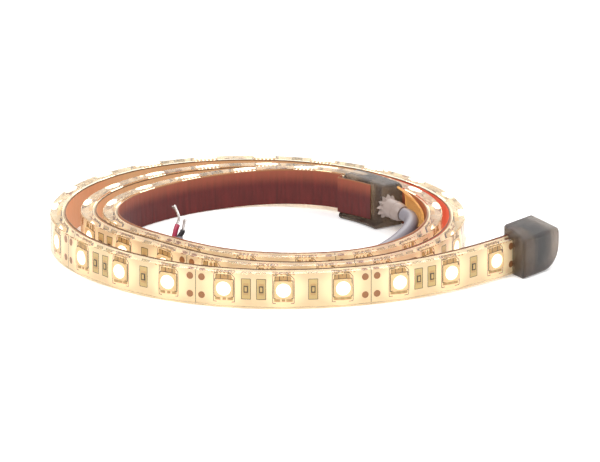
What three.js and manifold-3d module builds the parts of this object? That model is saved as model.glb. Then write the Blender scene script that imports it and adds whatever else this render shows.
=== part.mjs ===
// A flexible LED strip in a loose roll of two and a half turns, standing on its long edge.
// Units are millimetres, +Z is up, and the roll lies flat with its LEDs facing outward.
import * as THREE from 'three';
import { mergeVertices } from 'three/addons/utils/BufferGeometryUtils.js';
import Module from 'manifold-3d';

const wasm = await Module();
wasm.setup();

// Strip layers, from the LED side to the adhesive side
const siliconeThickness = 3.45;
const siliconeWidth = 10.5;
const siliconeEdgeRound = 0.5;
const domeHeight = 0.5;
const domeFlatLength = 3.6;
const boardThickness = 0.35;
const boardWidth = 10;
const boardFloor = 0.05;
const tapeThickness = 0.3;
const tapeWidth = 9.8;
const linerThickness = 0.2;
const linerWidth = 10.8;
const layerGap = 0.06;

// LEDs, resistors and the cut segments
const segmentLength = 50;
const ledsPerSegment = 3;
const ledCount = 53;
const ledSize = 5;
const ledHeight = 1.5;
const ledCornerCut = 0.9;
const ledWindowDiameter = 4;
const ledWindowDepth = 0.35;
const leadSpan = 7;
const leadRowWidth = 4.4;
const leadThickness = 0.25;
const resistorLength = 2;
const resistorWidth = 1.25;
const resistorHeight = 0.5;
const resistorPitch = 4.3;
const endStub = 4;
const looseLedCount = 47;
const partClearance = 0.25;

// Roll: radii of the innermost turn every 45 degrees, counted from the right, and the free
// space between one turn and the next at the same places; the strip's length sets where the
// inner end lies on this line
const capWall = 0.5;
const capClearance = 0.15;
const knotStep = 45;
const innerTurnRadii = [41.57, 39.48, 39.76, 39.39, 43.32, 37.29, 41.01, 47.54];
const sleeveRoom = partClearance + capWall + 0.3;
const turnLooseness = [
  sleeveRoom + 0.24, sleeveRoom + 0.1, 0.62, 3.22, 1.42, 0.5, 3.54, 2.92,
  1.45, 0.5, 2.17, 4.21, 3.88, 8.5, 2.94, 2.2,
];
const innerLooseness = 1;
const routeStart = -400;
const rollEndAngle = 990;
const tailLength = 80.5;
const tailHeading = 50.8;
const tailCurving = 0.89;
const liftRun = 55;

// Outer end cap
const endCapPlug = 9;
const endCapCover = 4.2;
const endCapSlant = 3.5;
const endCapFrontWall = 4.6;
const endCapBackWall = 1.3;
const endCapTopWall = 2.6;
const endCapFloor = 0.3;
const endCapCorner = 1;
const endCapToeRadius = 7;
const endCapSlope = 12;

// Sleeve on the inner end and the release liner's loose tab
const sleeveLength = 18;
const sleeveCover = 10;
const sleeveInnerWall = 1.5;
const sleeveEdge = 0.4;
const sleeveFoot = 2.4;
const sleeveFootHeight = 1.2;
const innerLift = 1.6;
const tabStart = 10.8;
const tabLength = 13;
const tabGap = 0.35;
const tabSwing = 1.2;

// Feed cable
const jacketDiameter = 4;
const coreDiameter = 1.5;
const tinnedDiameter = 0.9;
const jointGap = 0.3;
const reliefDiameter = 5.4;
const reliefLength = 7.4;
const reliefTeeth = 11;
const reliefToothLength = 1.6;
const hoodWall = 0.6;
const hoodGap = 0.4;
const hoodLead = 2;
const hoodSweep = 19;
const hoodHeight = 12.8;
const hoodFloor = 3;
const hoodCurl = 3.2;
const hoodShoulder = 3.8;

const ledPitch = segmentLength / ledsPerSegment;
const cutLength = ledPitch * ledCount;
const stripLength = cutLength + endStub;
const ledFacet = ledPitch / 2;
const boardBack = -boardThickness;
const tapeFront = boardBack - layerGap;
const tapeBack = tapeFront - tapeThickness;
const linerFront = tapeBack - layerGap;
const linerBack = linerFront - linerThickness;
const siliconeBack = layerGap;
const siliconeFront = siliconeBack + siliconeThickness;
const stripThickness = siliconeFront + domeHeight - linerBack;
const midHeight = boardFloor + boardWidth / 2;
const endLift = endCapFloor + capClearance;
const innerEnd = sleeveCover - sleeveLength;
const ledSeat = layerGap;

// Radius of the board's LED side at one of the knots
function knotRadius(index) {
  const turn = innerTurnRadii.length;
  if (index < 0) return knotRadius(index + turn) - stripThickness - innerLooseness;
  if (index < turn) return innerTurnRadii[index];
  const spare = turnLooseness[Math.min(index - turn, turnLooseness.length - 1)];
  return knotRadius(index - turn) + stripThickness + spare;
}

// Smooth radius between the knots
function rollRadius(degrees) {
  const place = degrees / knotStep;
  const index = Math.floor(place);
  const t = place - index;
  const [a, b, c, d] = [-1, 0, 1, 2].map((k) => knotRadius(index + k));
  const slope = c - a;
  const bend = 2 * a - 5 * b + 4 * c - d;
  const twist = 3 * b - a - 3 * c + d;
  return 0.5 * (2 * b + slope * t + bend * t * t + twist * t * t * t);
}

// The strip's line in plan, with its length from the inner end
function makeRoute() {
  const points = [];
  const angles = [];
  for (let angle = routeStart; angle <= rollEndAngle; angle += 0.5) {
    const radius = rollRadius(angle);
    const turn = THREE.MathUtils.degToRad(angle);
    points.push(new THREE.Vector2(radius * Math.cos(turn), radius * Math.sin(turn)));
    angles.push(angle);
  }
  const last = points[points.length - 1];
  const before = points[points.length - 2];
  const startHeading = Math.atan2(last.y - before.y, last.x - before.x);
  const endHeading = THREE.MathUtils.degToRad(tailHeading);
  const steps = 160;
  let point = last;
  for (let i = 0; i < steps * 1.1; i += 1) {
    const share = Math.min((i + 0.5) / steps, 1);
    const heading = startHeading + (endHeading - startHeading) * share ** tailCurving;
    const step = new THREE.Vector2(Math.cos(heading), Math.sin(heading));
    point = point.clone().addScaledVector(step, tailLength / steps);
    points.push(point);
    angles.push(rollEndAngle);
  }
  const lengths = [0];
  for (let i = 1; i < points.length; i += 1) {
    lengths.push(lengths[i - 1] + points[i].distanceTo(points[i - 1]));
  }
  const tailEnd = points.length - 1 - Math.floor(steps * 0.1);
  return { points, angles, lengths, start: lengths[tailEnd] - cutLength };
}

const route = makeRoute();

function smoothShare(x) {
  const t = THREE.MathUtils.clamp(x, 0, 1);
  return t * t * (3 - 2 * t);
}

// The ends stand a little higher, because their caps reach below the strip
function liftAt(along) {
  const inner = smoothShare((liftRun - along) / (liftRun - sleeveCover));
  const outer = smoothShare((along - stripLength + liftRun) / (liftRun - endCapCover - endCapSlant));
  return innerLift * inner + endLift * outer;
}

// A place on the strip's line and the directions along it and outward
function stripFrame(along) {
  const target = route.start + along;
  let low = 0;
  let high = route.lengths.length - 1;
  while (high - low > 1) {
    const middle = (low + high) >> 1;
    if (route.lengths[middle] > target) high = middle;
    else low = middle;
  }
  const a = route.points[low];
  const b = route.points[high];
  const share = (target - route.lengths[low]) / (route.lengths[high] - route.lengths[low]);
  const forward = b.clone().sub(a).normalize();
  const outward = new THREE.Vector2(forward.y, -forward.x);
  const angle = THREE.MathUtils.lerp(route.angles[low], route.angles[high], share);
  return { place: a.clone().lerp(b, share), forward, outward, angle };
}

function stripPoint(along, out, up) {
  const { place, outward } = stripFrame(along);
  const flat = place.clone().addScaledVector(outward, out);
  return new THREE.Vector3(flat.x, flat.y, up + liftAt(along));
}

// A closed body through a row of rings that each hold the same number of points
function loft(rings) {
  const count = rings[0].length;
  const vertices = rings.flat();
  const faces = [];
  for (let r = 0; r + 1 < rings.length; r += 1) {
    for (let i = 0; i < count; i += 1) {
      const a = r * count + i;
      const b = r * count + ((i + 1) % count);
      faces.push([a, b, b + count], [a, b + count, a + count]);
    }
  }
  for (const first of [0, vertices.length - count]) {
    const ring = vertices.slice(first, first + count);
    const across = ring[1].clone().sub(ring[0]).normalize();
    const normal = new THREE.Vector3();
    ring.forEach((p, i) => normal.add(p.clone().cross(ring[(i + 1) % count])));
    normal.normalize();
    const side = normal.clone().cross(across);
    const flat = ring.map((p) => new THREE.Vector2(p.dot(across), p.dot(side)));
    for (const [i, j, k] of THREE.ShapeUtils.triangulateShape(flat, [])) {
      faces.push(first === 0 ? [first + i, first + k, first + j] : [first + i, first + j, first + k]);
    }
  }
  let volume = 0;
  for (const [i, j, k] of faces) {
    volume += vertices[i].dot(vertices[j].clone().cross(vertices[k]));
  }
  const geometry = new THREE.BufferGeometry();
  geometry.setAttribute('position', new THREE.Float32BufferAttribute(vertices.flatMap((p) => p.toArray()), 3));
  geometry.setIndex(faces.flatMap(([i, j, k]) => (volume > 0 ? [i, j, k] : [i, k, j])));
  return geometry;
}

function toSolid(geometry) {
  const bare = geometry.clone();
  for (const name of Object.keys(bare.attributes)) {
    if (name !== 'position') bare.deleteAttribute(name);
  }
  const merged = mergeVertices(bare, 1e-4);
  return new wasm.Manifold(new wasm.Mesh({
    numProp: 3,
    vertProperties: Float32Array.from(merged.attributes.position.array),
    triVerts: Uint32Array.from(merged.index.array),
  }));
}

function toGeometry(solid) {
  const mesh = solid.getMesh();
  const geometry = new THREE.BufferGeometry();
  geometry.setAttribute('position', new THREE.BufferAttribute(Float32Array.from(mesh.vertProperties), 3));
  geometry.setIndex(new THREE.BufferAttribute(Uint32Array.from(mesh.triVerts), 1));
  return geometry;
}

function boxGeometry(x0, x1, y0, y1, z0, z1) {
  const box = new THREE.BoxGeometry(x1 - x0, y1 - y0, z1 - z0);
  return box.translate((x0 + x1) / 2, (y0 + y1) / 2, (z0 + z1) / 2);
}

// LED number 0 is the one nearest the outer end
function ledPlace(number) {
  return cutLength - (number + 0.5) * ledPitch;
}

// A flat stretch of the board: x along it, y up and z outward from its LED side
function facetMatrix(middle, length) {
  const a = stripPoint(middle - length / 2, 0, midHeight);
  const b = stripPoint(middle + length / 2, 0, midHeight);
  const along = b.clone().sub(a).normalize();
  const out = along.clone().cross(new THREE.Vector3(0, 0, 1)).normalize();
  const up = out.clone().cross(along);
  const matrix = new THREE.Matrix4().makeBasis(along, up, out);
  return matrix.setPosition(a.add(b).multiplyScalar(0.5));
}

// Places where every layer bends: both ends and either side of each LED
function layerStations() {
  const stations = [0];
  for (let number = ledCount - 1; number >= 0; number -= 1) {
    stations.push(ledPlace(number) - ledFacet / 2, ledPlace(number) + ledFacet / 2);
  }
  stations.push(stripLength);
  return stations;
}

// The silicone and the liner stand on the table, and narrower layers share the board's middle
function layerFloor(width) {
  return Math.max(0, midHeight - width / 2);
}

function bandRing(along, back, front, width) {
  const low = layerFloor(width);
  const high = low + width;
  return [[front, low], [front, high], [back, high], [back, low]].map(([out, up]) => stripPoint(along, out, up));
}

function bandGeometry(back, front, width) {
  return loft(layerStations().map((along) => bandRing(along, back, front, width)));
}

function siliconeRing(along, dome) {
  const low = layerFloor(siliconeWidth);
  const high = low + siliconeWidth;
  const edge = siliconeFront - siliconeEdgeRound;
  const domeInset = siliconeWidth / 4;
  const outline = [
    [siliconeBack, low], [edge, low], [siliconeFront, low + siliconeEdgeRound],
    [siliconeFront + dome, low + domeInset], [siliconeFront + dome, high - domeInset],
    [siliconeFront, high - siliconeEdgeRound], [edge, high], [siliconeBack, high],
  ];
  return outline.map(([out, up]) => stripPoint(along, out, up));
}

function ledPocket() {
  const reach = ledSize / 2 + partClearance;
  const span = leadSpan / 2 + partClearance;
  return boxGeometry(-reach, reach, -span, span, -layerGap, ledSeat + ledHeight + partClearance);
}

function resistorBody(margin, floor) {
  const across = resistorWidth / 2 + margin;
  const up = resistorLength / 2 + margin;
  return boxGeometry(-across, across, -up, up, floor, resistorHeight + margin);
}

// Counted from the outer end, one resistor lies between a segment's first two LEDs and two
// between the last two; the cut line comes after those
function resistorMatrices() {
  const matrices = [];
  for (let number = 0; number + 1 < ledCount; number += 1) {
    const shifts = [[0], [-resistorPitch / 2, resistorPitch / 2]][number % ledsPerSegment] ?? [];
    const facet = facetMatrix(ledPlace(number) - ledPitch / 2, ledPitch - ledFacet);
    for (const shift of shifts) {
      matrices.push(facet.clone().multiply(new THREE.Matrix4().makeTranslation(shift, 0, 0)));
    }
  }
  return matrices;
}

function siliconeGeometry() {
  const rings = [siliconeRing(0, 0)];
  for (let number = ledCount - 1; number >= 0; number -= 1) {
    const middle = ledPlace(number);
    rings.push(siliconeRing(middle - ledFacet / 2, 0));
    rings.push(siliconeRing(middle - domeFlatLength / 2, domeHeight));
    rings.push(siliconeRing(middle + domeFlatLength / 2, domeHeight));
    rings.push(siliconeRing(middle + ledFacet / 2, 0));
  }
  rings.push(siliconeRing(stripLength, 0));
  const pockets = [];
  for (let number = 0; number < ledCount; number += 1) {
    pockets.push(toSolid(ledPocket().applyMatrix4(facetMatrix(ledPlace(number), ledFacet))));
  }
  for (const matrix of resistorMatrices()) {
    pockets.push(toSolid(resistorBody(partClearance, -layerGap).applyMatrix4(matrix)));
  }
  return toGeometry(toSolid(loft(rings)).subtract(wasm.Manifold.union(pockets)));
}

// One LED package: a body with one cut corner, a round window and a row of leads at each end
function ledGeometry() {
  const half = ledSize / 2;
  const outline = new THREE.Shape([
    new THREE.Vector2(-half, -half), new THREE.Vector2(half, -half),
    new THREE.Vector2(half, half - ledCornerCut), new THREE.Vector2(half - ledCornerCut, half),
    new THREE.Vector2(-half, half),
  ]);
  const body = new THREE.ExtrudeGeometry(outline, { depth: ledHeight, bevelEnabled: false });
  const leads = boxGeometry(-leadRowWidth / 2, leadRowWidth / 2, -leadSpan / 2, leadSpan / 2, 0, leadThickness);
  const window = new THREE.CylinderGeometry(ledWindowDiameter / 2, ledWindowDiameter / 2, ledWindowDepth * 2, 8);
  window.rotateX(Math.PI / 2).translate(0, 0, ledHeight);
  return toGeometry(toSolid(body).add(toSolid(leads)).subtract(toSolid(window)));
}

const ledShape = ledGeometry();

// The board carries its resistors and its innermost LEDs
function boardGeometry() {
  const bite = boardThickness / 2;
  let board = toSolid(bandGeometry(boardBack, 0, boardWidth));
  for (const matrix of resistorMatrices()) {
    board = board.add(toSolid(resistorBody(0, -bite).applyMatrix4(matrix)));
  }
  for (let number = looseLedCount; number < ledCount; number += 1) {
    const matrix = facetMatrix(ledPlace(number), ledFacet);
    matrix.multiply(new THREE.Matrix4().makeTranslation(0, 0, -bite));
    board = board.add(toSolid(ledShape.clone().applyMatrix4(matrix)));
  }
  return toGeometry(board);
}

// A ring on the flat stretch between the two stations around a place
function flatRing(along, back, front, width) {
  const stations = layerStations();
  const next = stations.findIndex((station) => station > along);
  const [a, b] = [stations[next - 1], stations[next]];
  const far = bandRing(b, back, front, width);
  return bandRing(a, back, front, width).map((p, i) => p.lerp(far[i], (along - a) / (b - a)));
}

// The liner follows the tape and leaves it just before the sleeve, where its end stands
// off as a flat tab along the sleeve's inner side
function linerGeometry() {
  const leave = tabStart + 0.8;
  const rings = layerStations().filter((along) => along > leave + 0.5).map(
    (along) => bandRing(along, linerBack, linerFront, linerWidth),
  );
  rings.unshift(flatRing(leave, linerBack, linerFront, linerWidth));
  for (const [share, swing] of [[0, tabSwing], [0.5, tabSwing / 2], [1, 0]]) {
    const front = sleeveBack() - tabGap - swing;
    rings.unshift(bandRing(tabStart - tabLength * share, front - linerThickness, front, linerWidth));
  }
  return loft(rings);
}

function sleeveBack() {
  return tapeBack - capClearance - sleeveInnerWall;
}

// A soft clear sleeve over the inner end, with a foot along its lower inner side
function sleeveGeometry() {
  const floor = -innerLift;
  const roof = siliconeWidth + partClearance + capWall;
  const front = siliconeFront + domeHeight + partClearance + capWall;
  const back = sleeveBack();
  const edge = sleeveEdge;
  const outline = [
    [front, floor + edge], [front, roof - edge], [front - edge, roof], [back + edge, roof], [back, roof - edge],
    [back, floor + sleeveFootHeight], [back - sleeveFoot + edge, floor + sleeveFootHeight],
    [back - sleeveFoot, floor + edge], [back - sleeveFoot + edge, floor], [front - edge, floor],
  ];
  const centreOut = (front + back) / 2;
  const centreUp = (roof + floor) / 2;
  const ring = (along, size) => outline.map(([out, up]) => stripPoint(
    along, centreOut + (out - centreOut) * size, centreUp + (up - centreUp) * size,
  ));
  const rings = [ring(sleeveCover, 0.96), ring(sleeveCover - edge, 1)];
  for (const share of [0.25, 0.5, 0.75]) rings.push(ring(sleeveCover - sleeveLength * share, 1));
  rings.push(ring(innerEnd + 2 * edge, 1), ring(innerEnd, 0.86));
  const hollowBack = tapeBack - capClearance;
  const hollowFront = siliconeFront + domeHeight + partClearance;
  const stations = layerStations();
  const past = stations.findIndex((along) => along > sleeveCover + edge);
  const hollow = [-capClearance, ...stations.slice(1, past + 1)].map((along) => {
    const shell = bandRing(along, hollowBack, hollowFront, siliconeWidth + 2 * partClearance);
    return shell.map((point) => point.setZ(point.z - partClearance));
  });
  return toGeometry(toSolid(loft(rings)).subtract(toSolid(loft(hollow))));
}

// The outer end cap: x from the strip's end, y up and z outward; its mouth runs at a slant
function endCapGeometry() {
  const back = linerBack - capClearance - endCapBackWall;
  const front = siliconeFront + endCapFrontWall;
  const roof = endLift + linerWidth + endCapTopWall;
  const mouth = -endCapCover - endCapSlant;
  const profile = new THREE.Shape();
  profile.moveTo(mouth, 0);
  profile.lineTo(endCapPlug - endCapToeRadius, 0);
  profile.absarc(endCapPlug - endCapToeRadius, endCapToeRadius, endCapToeRadius, -Math.PI / 2, 0, false);
  profile.lineTo(endCapPlug, roof - endCapCorner);
  profile.lineTo(endCapPlug - endCapCorner, roof);
  profile.lineTo(mouth, roof);
  const bevel = endCapCorner / 2;
  const depth = front - back - 2 * bevel;
  const body = new THREE.ExtrudeGeometry(profile, {
    depth, curveSegments: 6, bevelSize: bevel, bevelThickness: bevel, bevelOffset: -bevel, bevelSegments: 1,
  });
  body.translate(0, 0, back + bevel);
  const hollow = boxGeometry(
    mouth - 1, capClearance, endCapFloor, endLift + linerWidth + capClearance,
    linerBack - capClearance, siliconeFront + capClearance,
  );
  const reach = 2 * (endCapPlug - mouth);
  const slice = boxGeometry(-reach, reach, 0, roof, -2 * front, 2 * front);
  slice.rotateX(THREE.MathUtils.degToRad(endCapSlope)).translate(0, roof, back + bevel);
  const slant = boxGeometry(-reach, 0, -roof, 2 * roof, -reach, reach);
  slant.rotateY(Math.atan2(-endCapSlant, front - back)).translate(-endCapCover, 0, back);
  const cuts = wasm.Manifold.union([hollow, slice, slant].map(toSolid));
  return toGeometry(toSolid(body).subtract(cuts));
}

function endCapMatrix() {
  const { place, forward, outward } = stripFrame(stripLength);
  const matrix = new THREE.Matrix4().makeBasis(
    new THREE.Vector3(forward.x, forward.y, 0), new THREE.Vector3(0, 0, 1), new THREE.Vector3(outward.x, outward.y, 0),
  );
  return matrix.setPosition(new THREE.Vector3(place.x, place.y, 0));
}

// A place given from the inner end: on beyond the sleeve, outward from the roll and up
function endPoint([beyond, out, up]) {
  const { place, forward, outward } = stripFrame(innerEnd);
  const flat = place.clone().addScaledVector(forward, -beyond).addScaledVector(outward, out);
  return new THREE.Vector3(flat.x, flat.y, up);
}

// Centre line of the feed cable's jacket, from the strain relief to its cut end
const jacketRoute = [
  [8.7, -0.5, 6.5], [10.8, -0.1, 6.3], [12.9, -0.4, 6.1], [14.9, -1.5, 5.8], [17.2, -3.5, 5.4], [19.7, -6.3, 4.8],
  [22.5, -10.6, 4], [25.1, -15.9, 3.2], [27.5, -22.3, 2.6], [29.5, -29.2, 2.2], [30.7, -37, 2.1],
  [30, -45.3, 2.1], [27.9, -53.2, 2.1], [24.4, -60.1, 2.1], [19.8, -65.9, 2.1], [14.1, -69.5, 2.3],
  [8.6, -71.6, 3.1], [4.8, -72.7, 4.6], [2.7, -73, 6.7], [1.9, -72.7, 9.2],
].map(endPoint);
const redRoute = [[1.2, -72.7, 9.9], [1.1, -72.3, 11.1], [0.9, -71.6, 12.4]];
const redTinRoute = [[0.8, -71.6, 12.75], [0.8, -71.1, 14.2], [-0, -71.3, 16], [-0.9, -71.9, 17.6]];
const blackRoute = [[2.8, -71.7, 9.85], [2.9, -71.3, 10.5], [2.9, -71, 11.2]];
const blackTinRoute = [[2.9, -70.9, 11.55], [2.9, -70.7, 12.8], [3, -70.5, 14.2]];

function tubeGeometry(points, diameter, sides, steps) {
  const outline = new THREE.Shape();
  for (let i = 0; i < sides; i += 1) {
    const turn = (i / sides) * 2 * Math.PI;
    const x = (diameter / 2) * Math.cos(turn);
    const y = (diameter / 2) * Math.sin(turn);
    if (i === 0) outline.moveTo(x, y);
    else outline.lineTo(x, y);
  }
  outline.closePath();
  const path = new THREE.CatmullRomCurve3(points, false, 'centripetal');
  return new THREE.ExtrudeGeometry(outline, { steps, bevelEnabled: false, extrudePath: path });
}

function shortTube(places, diameter, steps) {
  return tubeGeometry(places.map(endPoint), diameter, 8, steps);
}

// Directions at the point where the jacket leaves its strain relief
function exitMatrix() {
  const start = jacketRoute[0];
  const along = jacketRoute[1].clone().sub(start).normalize();
  const side = along.clone().cross(new THREE.Vector3(0, 0, 1)).normalize();
  const up = side.clone().cross(along);
  return new THREE.Matrix4().makeBasis(side, up, along).setPosition(start);
}

// A pale sheath around the cable's start, its far rim cut into teeth
function reliefGeometry() {
  const radius = reliefDiameter / 2;
  const rim = -jointGap - reliefLength;
  const profile = [
    [0, rim + reliefToothLength], [radius, rim + reliefToothLength], [radius, -1.6], [radius - 0.5, -jointGap],
    [0, -jointGap],
  ].map(([x, y]) => new THREE.Vector2(x, y));
  const body = new THREE.LatheGeometry(profile, 2 * reliefTeeth).rotateX(Math.PI / 2);
  const star = new THREE.Shape();
  for (let i = 0; i < 2 * reliefTeeth; i += 1) {
    const turn = (i / reliefTeeth) * Math.PI;
    const reach = i % 2 === 0 ? radius + 0.9 : radius - 0.5;
    if (i === 0) star.moveTo(reach * Math.cos(turn), reach * Math.sin(turn));
    else star.lineTo(reach * Math.cos(turn), reach * Math.sin(turn));
  }
  star.closePath();
  const teeth = new THREE.ExtrudeGeometry(star, { depth: reliefToothLength + 0.2, bevelEnabled: false });
  teeth.translate(0, 0, rim);
  return toGeometry(toSolid(body).add(toSolid(teeth)));
}

// A thin clear tongue that runs on from the sleeve along the next turn and curls over the
// cable; it gets lower towards its free end
function hoodGeometry() {
  const outline = [
    [0, hoodFloor], [0, hoodHeight - hoodShoulder], [-hoodCurl / 3, hoodHeight - hoodShoulder / 3],
    [-hoodCurl, hoodHeight], [-hoodCurl, hoodHeight - hoodWall],
    [-hoodCurl / 3 - hoodWall, hoodHeight - hoodShoulder / 3 - hoodWall],
    [-hoodWall, hoodHeight - hoodShoulder - hoodWall], [-hoodWall, hoodFloor],
  ];
  const rings = [];
  const steps = 5;
  const first = stripFrame(innerEnd).angle - hoodLead;
  for (let i = 0; i <= steps; i += 1) {
    const share = i / steps;
    const angle = first - hoodSweep * share;
    const turn = THREE.MathUtils.degToRad(angle);
    const wall = rollRadius(angle + 360) + linerBack - hoodGap;
    rings.push(outline.map(([out, up]) => {
      const radius = wall + out * (1 - 0.55 * share);
      return new THREE.Vector3(radius * Math.cos(turn), radius * Math.sin(turn), up * (1 - 0.18 * share));
    }));
  }
  return loft(rings);
}

function material(color, roughness, metalness = 0) {
  return new THREE.MeshStandardMaterial({ color, roughness, metalness });
}

const clearSilicone = material(0xf6e2bd, 0.25);
const whiteBoard = material(0xf3e6cf, 0.5);
const tapeMaterial = material(0xe8ddc8, 0.7);
const redLiner = material(0x8c2a2c, 0.4);
const smokyCap = material(0x6d625e, 0.2);
const ledBody = material(0xfff3d6, 0.35);
const paleSheath = material(0xc9bdbd, 0.5);
const greyJacket = material(0x9c97a2, 0.45);
const redCore = material(0xb23a55, 0.4);
const blackCore = material(0x242424, 0.4);
const tinned = material(0xcfccc6, 0.3, 0.9);

const strip = new THREE.Group();
const cable = new THREE.Group();

function addPiece(group, name, geometry, finish, matrix) {
  const mesh = new THREE.Mesh(geometry, finish);
  mesh.name = name;
  if (matrix) matrix.decompose(mesh.position, mesh.quaternion, mesh.scale);
  group.add(mesh);
}

addPiece(strip, 'silicone_coat', siliconeGeometry(), clearSilicone);
addPiece(strip, 'circuit_board', boardGeometry(), whiteBoard);
addPiece(strip, 'adhesive_tape', bandGeometry(tapeBack, tapeFront, tapeWidth), tapeMaterial);
addPiece(strip, 'release_liner', linerGeometry(), redLiner);
addPiece(strip, 'outer_end_cap', endCapGeometry(), smokyCap, endCapMatrix());
addPiece(strip, 'inner_end_sleeve', sleeveGeometry(), smokyCap);
addPiece(strip, 'clear_hood', hoodGeometry(), clearSilicone);
addPiece(strip, 'strain_relief', reliefGeometry(), paleSheath, exitMatrix());
for (let number = 0; number < looseLedCount; number += 1) {
  const matrix = facetMatrix(ledPlace(number), ledFacet);
  matrix.multiply(new THREE.Matrix4().makeTranslation(0, 0, ledSeat));
  addPiece(strip, `led_${String(number + 1).padStart(2, '0')}`, ledShape, ledBody, matrix);
}
addPiece(cable, 'cable_jacket', tubeGeometry(jacketRoute, jacketDiameter, 10, 30), greyJacket);
addPiece(cable, 'red_core', shortTube(redRoute, coreDiameter, 4), redCore);
addPiece(cable, 'red_tinned_end', shortTube(redTinRoute, tinnedDiameter, 6), tinned);
addPiece(cable, 'black_core', shortTube(blackRoute, coreDiameter, 4), blackCore);
addPiece(cable, 'black_tinned_end', shortTube(blackTinRoute, tinnedDiameter, 4), tinned);

const roll = new THREE.Group();
roll.add(strip, cable);
roll.updateMatrixWorld(true);
const box = new THREE.Box3().setFromObject(strip, true);
roll.position.set(-(box.min.x + box.max.x) / 2, -(box.min.y + box.max.y) / 2, -box.min.z);

export default roll;
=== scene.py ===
"""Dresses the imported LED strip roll: silicone, board, LEDs, liner, end caps and feed cable."""

import math

import bmesh
import bpy
from mathutils import Matrix, Vector, noise


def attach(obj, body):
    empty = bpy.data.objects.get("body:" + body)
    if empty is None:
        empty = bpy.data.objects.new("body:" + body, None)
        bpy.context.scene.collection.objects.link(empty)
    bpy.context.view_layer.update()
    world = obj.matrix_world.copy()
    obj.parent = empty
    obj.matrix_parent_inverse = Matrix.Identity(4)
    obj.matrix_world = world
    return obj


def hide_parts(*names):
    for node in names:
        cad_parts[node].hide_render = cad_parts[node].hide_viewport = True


bl_info = {
    "name": "LED Strip Roll",
    "version": (1, 0, 0),
    "blender": (4, 5, 0),
    "location": "3D View > Sidebar > LED Strip",
    "description": "Builds the looks of a silicone-coated LED strip in a loose roll",
    "category": "Object",
}

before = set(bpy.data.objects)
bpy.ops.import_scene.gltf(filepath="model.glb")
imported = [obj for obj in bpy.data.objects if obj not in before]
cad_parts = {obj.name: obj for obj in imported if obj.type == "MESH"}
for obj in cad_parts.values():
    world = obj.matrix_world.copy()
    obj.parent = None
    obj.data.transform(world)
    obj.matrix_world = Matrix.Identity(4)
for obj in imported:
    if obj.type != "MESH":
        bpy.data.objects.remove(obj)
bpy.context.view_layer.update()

# Sizes are in millimetres, as in the part's source, where no comment says otherwise. MM turns
# them to metres, and ORIGIN_SHIFT is where the roll's own middle lies in the part's frame.
MM = 0.001
ORIGIN_SHIFT = (-11.0205, 2.4885)

# Segments between two cut lines, and the LEDs, some of them a part of the board's solid
SEGMENT = 50.0
LEDS_PER_SEGMENT = 3
LED_PITCH = SEGMENT / LEDS_PER_SEGMENT
LED_COUNT = 53
LOOSE_LEDS = 47
CUT_END = LED_PITCH * LED_COUNT
END_STUB = 4
STRIP_END = CUT_END + END_STUB

# Layers: widths, and places outward from the board's front
SILICONE_WIDTH = 10.5
BOARD_WIDTH = 10.0
TAPE_WIDTH = 9.8
BOARD_FLOOR = 0.05
MID_HEIGHT = BOARD_FLOOR + BOARD_WIDTH / 2
SILICONE_FRONT = 3.51
SILICONE_BACK = -0.08
DOME = 0.5
DOME_REACH = 4.3
DOME_SQUARENESS = 0.7
BOARD_BACK = -0.35
TAPE_FRONT = -0.41
TAPE_BACK = -0.71
LINER_FRONT = -0.77
LINER_BACK = -0.97
STRIP_THICKNESS = SILICONE_FRONT + DOME - LINER_BACK

# The roll: radii of the innermost turn and the spare room of the turns after it, one for every
# KNOT_STEP degrees, between the angles ROUTE_FIRST and ROLL_END
KNOT_STEP = 45
INNER_TURN_RADII = [41.57, 39.48, 39.76, 39.39, 43.32, 37.29, 41.01, 47.54]
TURN_LOOSENESS = [
    1.29, 1.15, 0.62, 3.22, 1.42, 0.5, 3.54, 2.92,
    1.45, 0.5, 2.17, 4.21, 3.88, 8.5, 2.94, 2.2,
]
INNER_LOOSENESS = 1.0
ROUTE_FIRST = -400
ROLL_END = 990
STEPS_PER_DEGREE = 2

# The tail: its heading in degrees at the end, how late it bends, and the steps it is drawn in,
# with some more that run on past the strip's end
TAIL_LENGTH = 80.5
TAIL_HEADING = 50.8
TAIL_CURVING = 0.89
TAIL_STEPS = 160
TAIL_SPARE = 16

# How far each end stands off the table, and the length over which it rises
LIFT_RUN = 55.0
INNER_LIFT = 1.6
OUTER_LIFT = 0.45

# Sleeve: its two ends along the strip, its roof's height, and its faces outward from the board
SLEEVE_COVER = 10.0
INNER_END = -8.0
SLEEVE_ROOF = 11.25
SLEEVE_FRONT = 4.76
SLEEVE_BACK = -2.36
SLEEVE_EDGE = 0.5
# Places along the strip with the size of the sleeve's section there
SLEEVE_RINGS = [
    (10, 0.94), (9.8, 0.98), (9.4, 1), (7, 1), (4, 1), (1, 1), (-2, 1), (-5, 1), (-6.8, 1),
    (-7.4, 0.985), (-7.85, 0.94), (-8, 0.86),
]
# The liner's loose tab: where it leaves the strip, its length back over the sleeve, its gap to
# the sleeve, and how much further off the strip's end of it stands
TAB_START = 10.8
TAB_LENGTH = 13.0
TAB_GAP = 0.35
TAB_LEAN = 1.2

# Outer cap: how much of the strip it covers, how much further its mouth reaches in front, how
# far it runs on beyond the strip, its toe's rounding, heights, faces and its roof's slope
CAP_COVER = 4.2
CAP_SLANT = 3.5
CAP_PLUG = 9.0
CAP_TOE = 7.0
CAP_ROOF = 13.85
CAP_BACK = -2.42
CAP_FRONT = 8.11
CAP_SLOPE = math.radians(12)
# Side view of the sealant inside it, near-black as painted shade of the cap's interior: beyond the
# strip's end, and up
SEALANT_SHADE_OUTLINE = [(0.6, 1.6), (4.0, 1.6), (6.2, 4.0), (6.9, 7.5), (6.2, 10.4), (0.6, 11.0)]

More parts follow.
